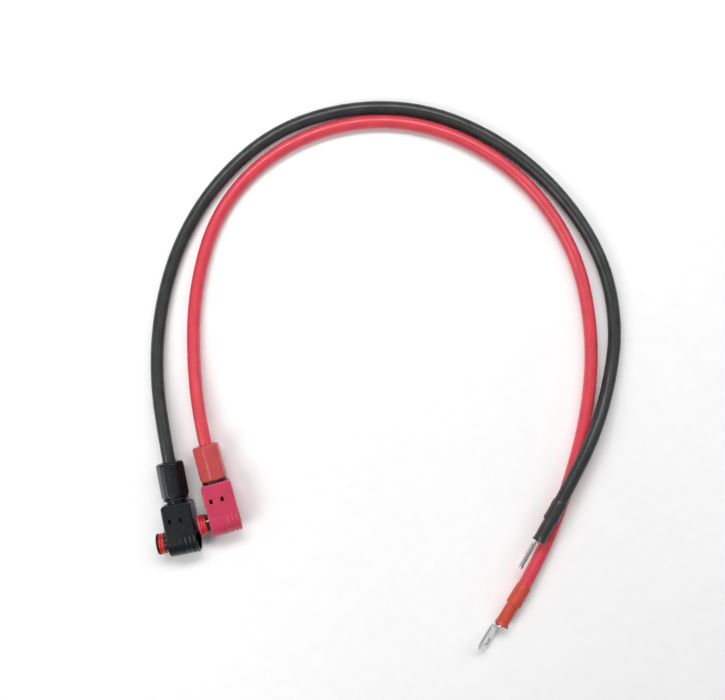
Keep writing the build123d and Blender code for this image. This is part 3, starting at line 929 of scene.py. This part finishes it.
def make_nut(colour):
    """The long hexagonal gland nut: rounded edges, turned ends and a domed cable end."""
    low_y, high_y = nut_span(colour)
    place = plug_place(colour)
    roll = math.radians(NUT_ROLLS[colour])
    corner_r, edge = 11.2, bpy.context.scene.lead_sizes.nut_edge / MM
    long = high_y - low_y
    turned = [(0, 9.2), (0.25, 9.7), (0.9, 10.15), (1.7, 10.6), (2.6, 11.1), (4, 11.5)]
    turned += [(long * 0.3, 11.6), (long * 0.5, 11.6), (long * 0.7, 11.6), (long - 4.6, 11.5)]
    for k in range(1, 9):
        angle = math.radians(k * 11.25)
        turned.append((long - 3.6 + 3.6 * math.sin(angle), 7.8 + 3.6 * math.cos(angle)))
    inner = [(long, 5.75), (long - 0.25, 5.6), (long - 3.0, 5.6), (long - 5.2, 7.1)]
    inner += [(17.3, 7.1), (17.2, 8.25), (0.3, 8.25), (0, 8.5)]

    def hexagon(step, angle, radius):
        if (step, radius) not in outer:
            return 0.0
        turn = (angle - roll) % (math.pi / 3) - math.pi / 6
        flat = corner_r * math.cos(math.pi / 6) / math.cos(turn)
        blend = edge * 0.7
        soft = -blend * math.log(math.exp(-flat / blend) + math.exp(-(corner_r - 0.12) / blend))
        soft = min(soft, flat)
        spare = 0.18
        return -spare * math.log(math.exp(-soft / spare) + math.exp(-radius / spare)) - radius

    outer = {(low_y + y, radius) for y, radius in turned}
    profile = [(low_y + y, radius) for y, radius in turned + inner]
    name = f"{colour}_nut"
    piece = lathe(name, profile, place, "y", 144, waver=hexagon, sharp=40, flat_first=True)
    settle(piece, f"{colour}_gland_nut", f"{colour}_nut_plastic", f"{colour}_gland_nut")


def nut_span(colour):
    """Where a nut starts and ends along its cable axis, in millimetres."""
    half_long = 13.75
    low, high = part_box(f"{colour}_gland_nut")
    middle = plug_place(colour).inverted() @ ((low + high) / 2)
    return middle.y / MM - half_long, middle.y / MM + half_long


def make_o_ring(colour):
    """The rubber ring between the nut and the housing."""
    place = plug_place(colour)
    centre_y = nut_span(colour)[0] - 1.05
    centre_r, thick_r, steps = 9.15, 0.8, 20
    ring = []
    for k in range(steps):
        angle = 2 * math.pi * k / steps
        ring.append((centre_y + thick_r * math.cos(angle), centre_r + thick_r * math.sin(angle)))
    piece = lathe(f"{colour}_o_ring", ring, place, "y", 96, sharp=80)
    settle(piece, f"{colour}_gland_clamp", "black_rubber", f"{colour}_gland_o_ring")


# ---------------------------------------------------------------- crimped ends


def make_sleeve(colour):
    """The shrunk sleeve: a step where the jacket ends, small waves and a flared, ragged end."""
    waver = bpy.context.scene.lead_sizes.sleeve_waver / MM
    place = end_place(colour)
    sleeve_long = 35 * MM
    phase = 0.4 if colour == "black" else 2.1
    outside = [(-17, 5.35), (-16.5, 5.62), (-15.6, 5.78), (-13, 5.82), (-9, 5.78), (-5, 5.84)]
    outside += [(-2, 5.88), (-0.9, 5.92), (-0.2, 5.86), (0.2, 5.6), (0.5, 5.1), (0.9, 4.76), (1.3, 4.68)]
    outside += [(2.0, 4.74), (4, 4.84), (7, 4.92), (10, 4.86), (13, 4.9), (15, 4.98), (16.3, 5.2)]
    outside += [(17.4, 5.65), (17.95, 5.9), (18.1, 5.7)]
    inside = [(17.9, 5.0), (16.6, 4.62), (15, 4.46), (1.4, 4.42), (0.1, 5.03), (-17, 5.03)]

    def uneven(step, angle, radius):
        wave = math.sin(2 * angle + phase + step * 0.23)
        wave += 0.6 * math.sin(3 * angle - phase * 2 + step * 0.6)
        wave += 0.5 * math.sin(5 * angle + step * 1.1)
        ragged = max(0.0, step - 15) / 3
        wall = 0.35 if radius < 5.1 and step > -16.9 else 1.0
        return waver * wave * wall * (0.55 + 1.4 * ragged)

    piece = lathe(f"{colour}_sleeve", outside + inside, place, segments=72, waver=uneven, sharp=60)
    unroll(piece, place, sleeve_long)
    settle(piece, f"{colour}_lead", f"{colour}_shrink", f"{colour}_heat_shrink")


def flat_loop(x, half_wide, half_thick, centre, power):
    """A rounded outline across the lug, from a circle to a flat strip as the power grows."""
    count = 64
    points = []
    for i in range(count):
        angle = 2 * math.pi * i / count
        c, s = math.cos(angle), math.sin(angle)
        y = half_wide * math.copysign(abs(c) ** (2 / power), c)
        z = centre + half_thick * math.copysign(abs(s) ** (2 / power), s)
        points.append((x, y, z))
    return points


def make_lug():
    """The tinned ring lug: a barrel pressed flat into a palm, with a chamfered tip and a hole."""
    place = end_place("red", LUG_ROLL)
    barrel_r, palm_half, palm_thick, hole_x = 4.4, 7.5, 1.0, 35
    drop = palm_thick - barrel_r
    loops = [flat_loop(0.8, 4.1, 4.1, 0, 2), flat_loop(1.1, 4.35, 4.35, 0, 2)]
    loops += [flat_loop(x, barrel_r, barrel_r, 0, 2) for x in (4, 8, 12, 16)]
    pressed = [(17.6, 0.05), (18.6, 0.18), (19.6, 0.38), (20.6, 0.62)]
    pressed += [(21.4, 0.82), (22.2, 0.96), (22.8, 1.0)]
    for x, share in pressed:
        smooth = share * share * (3 - 2 * share)
        half_wide = barrel_r + (palm_half - barrel_r) * smooth
        half_thick = barrel_r + (palm_thick - barrel_r) * smooth
        loops.append(flat_loop(x, half_wide, half_thick, drop * smooth, 2 + 8 * smooth))
    palm = [(x, palm_half, palm_thick) for x in (25, 30, 35, 39.4)]
    palm += [(40.1, 7.35, palm_thick), (41.0, 6.5, palm_thick), (42.0, 5.5, palm_thick)]
    palm += [(42.9, 4.6, palm_thick), (43.2, 4.25, 0.88), (43.3, 4.05, 0.7)]
    for x, half_wide, half_thick in palm:
        loops.append(flat_loop(x, half_wide, half_thick, drop, 10))
    piece = loft("red_lug", loops, place)
    turns = [2 * math.pi * i / 64 for i in range(64)]
    drill = []
    for depth, radius in ((-3, 4.498), (-1.0, 4.5), (-0.75, 4.2), (0.75, 4.2), (1.0, 4.5), (3, 4.498)):
        drill.append([(hole_x + radius * math.cos(t), radius * math.sin(t), drop + depth) for t in turns])
    carve(piece, loft("tool", drill, place))
    soften(piece, 35)
    settle(piece, "red_lead", "tinned_copper", "red_ring_lug")


def make_pin():
    """The tinned pin terminal: a barrel, a short neck and a rolled pin with its seam."""
    place = end_place("black", PIN_ROLL)
    pin_r, barrel_r, segments = 1.8, 4.4, 72
    drop = pin_r - barrel_r
    stations = [(0.8, 4.1, 0)] + [(x, barrel_r, 0) for x in (1.1, 6, 12, 17.6)]
    stations += [(18.2, 4.25, 0), (18.6, 3.9, 0.15), (19.2, 3.1, 0.5)]
    stations += [(19.8, 2.25, 0.86), (20.2, 1.85, 0.98)]
    stations += [(x, pin_r, 1) for x in (20.8, 24, 28, 32, 36, 40, 41.6)]
    stations += [(42.2, 1.72, 1), (42.6, 1.5, 1), (42.9, 1.1, 1), (43.0, 0.6, 1)]
    loops = []
    for x, radius, share in stations:
        loop = []
        for i in range(segments):
            angle = 2 * math.pi * i / segments
            seam = math.exp(-(((angle - 2.2) / 0.10) ** 2)) * (0.32 if 20.5 < x < 42 else 0.0)
            reach = radius - seam
            loop.append((x, reach * math.cos(angle), drop * share + reach * math.sin(angle)))
        loops.append(loop)
    piece = loft("black_pin", loops, place, sharp=40)
    settle(piece, "black_lead", "tinned_copper", "black_pin_terminal")


# ---------------------------------------------------------------- operators


class LEADS_OT_camera(bpy.types.Operator):
    """Sets up the camera straight above the leads"""

    bl_idname = "leads.camera"
    bl_label = "Camera"

    def execute(self, context):
        height = 0.8
        data = bpy.data.cameras.new("above")
        data.lens = 50.93
        data.sensor_width = 36
        data.shift_x = 0.0034
        data.clip_start, data.clip_end = 0.01, 20
        camera = bpy.data.objects.new("above", data)
        lean = math.radians(11)
        right = Vector((math.cos(lean), -math.sin(lean), 0))
        upward = Vector((math.sin(lean), math.cos(lean), 0))
        camera.matrix_world = axes_matrix(right, upward, Vector((0.1804, 0.1171, floor_z + height)))
        context.scene.collection.objects.link(camera)
        context.scene.camera = camera
        return {"FINISHED"}


class LEADS_OT_cables(bpy.types.Operator):
    """Lays both cables along their routes"""

    bl_idname = "leads.cables"
    bl_label = "Cables"

    def execute(self, context):
        radius = context.scene.lead_sizes.jacket_radius
        for colour in COLOURS:
            piece = tube(f"{colour}_cable", centre_line(colour), radius)
            settle(piece, f"{colour}_lead", f"{colour}_jacket", f"{colour}_cable_jacket")
        return {"FINISHED"}


class LEADS_OT_terminals(bpy.types.Operator):
    """Makes the ring lug, the pin terminal and the shrunk sleeves"""

    bl_idname = "leads.terminals"
    bl_label = "Terminals and sleeves"

    def execute(self, context):
        make_lug()
        make_pin()
        for colour in COLOURS:
            make_sleeve(colour)
        return {"FINISHED"}


class LEADS_OT_cords(bpy.types.Operator):
    bl_idname = "leads.cords"
    bl_label = "Declare cords"

    def execute(self, context):
        for colour, terminal in (("black", "black_pin"), ("red", "red_lug")):
            [tuple(point) for point in centre_line(colour)]
        return {"FINISHED"}


class LEADS_OT_housings(bpy.types.Operator):
    """Makes the two plug bodies and their threaded necks"""

    bl_idname = "leads.housings"
    bl_label = "Plug bodies"

    def execute(self, context):
        for colour in COLOURS:
            make_housing(colour)
        return {"FINISHED"}


class LEADS_OT_noses(bpy.types.Operator):
    """Makes the noses, cover plates and soft rings"""

    bl_idname = "leads.noses"
    bl_label = "Noses and seals"

    def execute(self, context):
        for colour in COLOURS:
            make_nose(colour)
            make_seal(colour)
        return {"FINISHED"}


class LEADS_OT_buttons(bpy.types.Operator):
    """Makes the ribbed release buttons"""

    bl_idname = "leads.buttons"
    bl_label = "Release buttons"

    def execute(self, context):
        for colour in COLOURS:
            make_button(colour)
        return {"FINISHED"}


class LEADS_OT_glands(bpy.types.Operator):
    """Makes the gland nuts and their O-rings"""

    bl_idname = "leads.glands"
    bl_label = "Gland nuts"

    def execute(self, context):
        for colour in COLOURS:
            make_nut(colour)
            make_o_ring(colour)
        return {"FINISHED"}


class LEADS_OT_inner_pieces(bpy.types.Operator):
    """Gives the pieces inside the plugs and barrels their finishes"""

    bl_idname = "leads.inner_pieces"
    bl_label = "Inner pieces"

    def execute(self, context):
        for subpart in frame["record"]["subparts"]:
            node = frame["nodes"][subpart["node"]]
            if node.hide_render:
                continue
            slot = subpart["material_slot"]
            behind_window = node.name.endswith("contact_carrier")
            node.data.materials.clear()
            node.data.materials.append(finish("hidden_black" if behind_window else slot))
        return {"FINISHED"}


class LEADS_OT_stage(bpy.types.Operator):
    """Lays the pale floor and hangs the studio lights"""

    bl_idname = "leads.stage"
    bl_label = "Floor and lights"

    def execute(self, context):
        reach = 3.0
        corners = [(-reach, -reach), (reach, -reach), (reach, reach), (-reach, reach)]
        mesh = bpy.data.meshes.new("floor")
        mesh.from_pydata([(x, y, floor_z) for x, y in corners], [], [(0, 1, 2, 3)])
        mesh.materials.append(pale_floor(context.scene.lead_colours.floor))
        floor = bpy.data.objects.new("floor", mesh)
        context.scene.collection.objects.link(floor)
        centre = (cad_low + cad_high) / 2
        lamps = [("key", (0.0, 0.75, 1.15), 1.1, 0.35, 11.5), ("fill", (-0.8, -0.3, 0.9), 0.6, 0.6, 5.5)]
        lamps.append(("side", (0.9, 0.5, 1.0), 0.8, 0.8, 4))
        for name, offset, wide, high, power in lamps:
            light = bpy.data.lights.new(name, "AREA")
            light.shape = "RECTANGLE"
            light.size = wide
            light.size_y = high
            light.energy = power
            lamp = bpy.data.objects.new(name, light)
            lamp.location = centre + Vector(offset)
            lamp.rotation_mode = "QUATERNION"
            lamp.rotation_quaternion = (-Vector(offset)).to_track_quat("-Z", "Y")
            context.scene.collection.objects.link(lamp)
        world = bpy.data.worlds.new("studio")
        world.use_nodes = True
        background = world.node_tree.nodes["Background"]
        background.inputs["Color"].default_value = (1, 1, 1, 1)
        background.inputs["Strength"].default_value = 0.24
        context.scene.world = world
        context.scene.view_settings.view_transform = "Standard"
        return {"FINISHED"}


STEPS = [
    LEADS_OT_camera,
    LEADS_OT_cables,
    LEADS_OT_terminals,
    LEADS_OT_cords,
    LEADS_OT_housings,
    LEADS_OT_noses,
    LEADS_OT_buttons,
    LEADS_OT_glands,
    LEADS_OT_inner_pieces,
    LEADS_OT_stage,
]


class LEADS_PT_sidebar(bpy.types.Panel):
    """Lists the sizes, the colours and the steps"""

    bl_idname = "LEADS_PT_sidebar"
    bl_label = "Battery lead pair"
    bl_space_type = "VIEW_3D"
    bl_region_type = "UI"
    bl_category = "Leads"

    def draw(self, context):
        for group in (context.scene.lead_sizes, context.scene.lead_colours):
            for name in group.bl_rna.properties.keys():
                if name not in ("rna_type", "name"):
                    self.layout.prop(group, name)
        for step in STEPS:
            self.layout.operator(step.bl_idname)


CLASSES = [LeadSizes, LeadColours, *STEPS, LEADS_PT_sidebar]


def register():
    """Registers the classes and gives the scene its sizes and colours."""
    for item in CLASSES:
        bpy.utils.register_class(item)
    bpy.types.Scene.lead_sizes = PointerProperty(type=LeadSizes)
    bpy.types.Scene.lead_colours = PointerProperty(type=LeadColours)


def unregister():
    """Takes back what register gave."""
    del bpy.types.Scene.lead_colours
    del bpy.types.Scene.lead_sizes
    for item in reversed(CLASSES):
        bpy.utils.unregister_class(item)


def main():
    """Builds the leads step by step."""
    register()
    for step in STEPS:
        family, action = step.bl_idname.split(".")
        getattr(getattr(bpy.ops, family), action)()


if __name__ == "__main__":
    main()
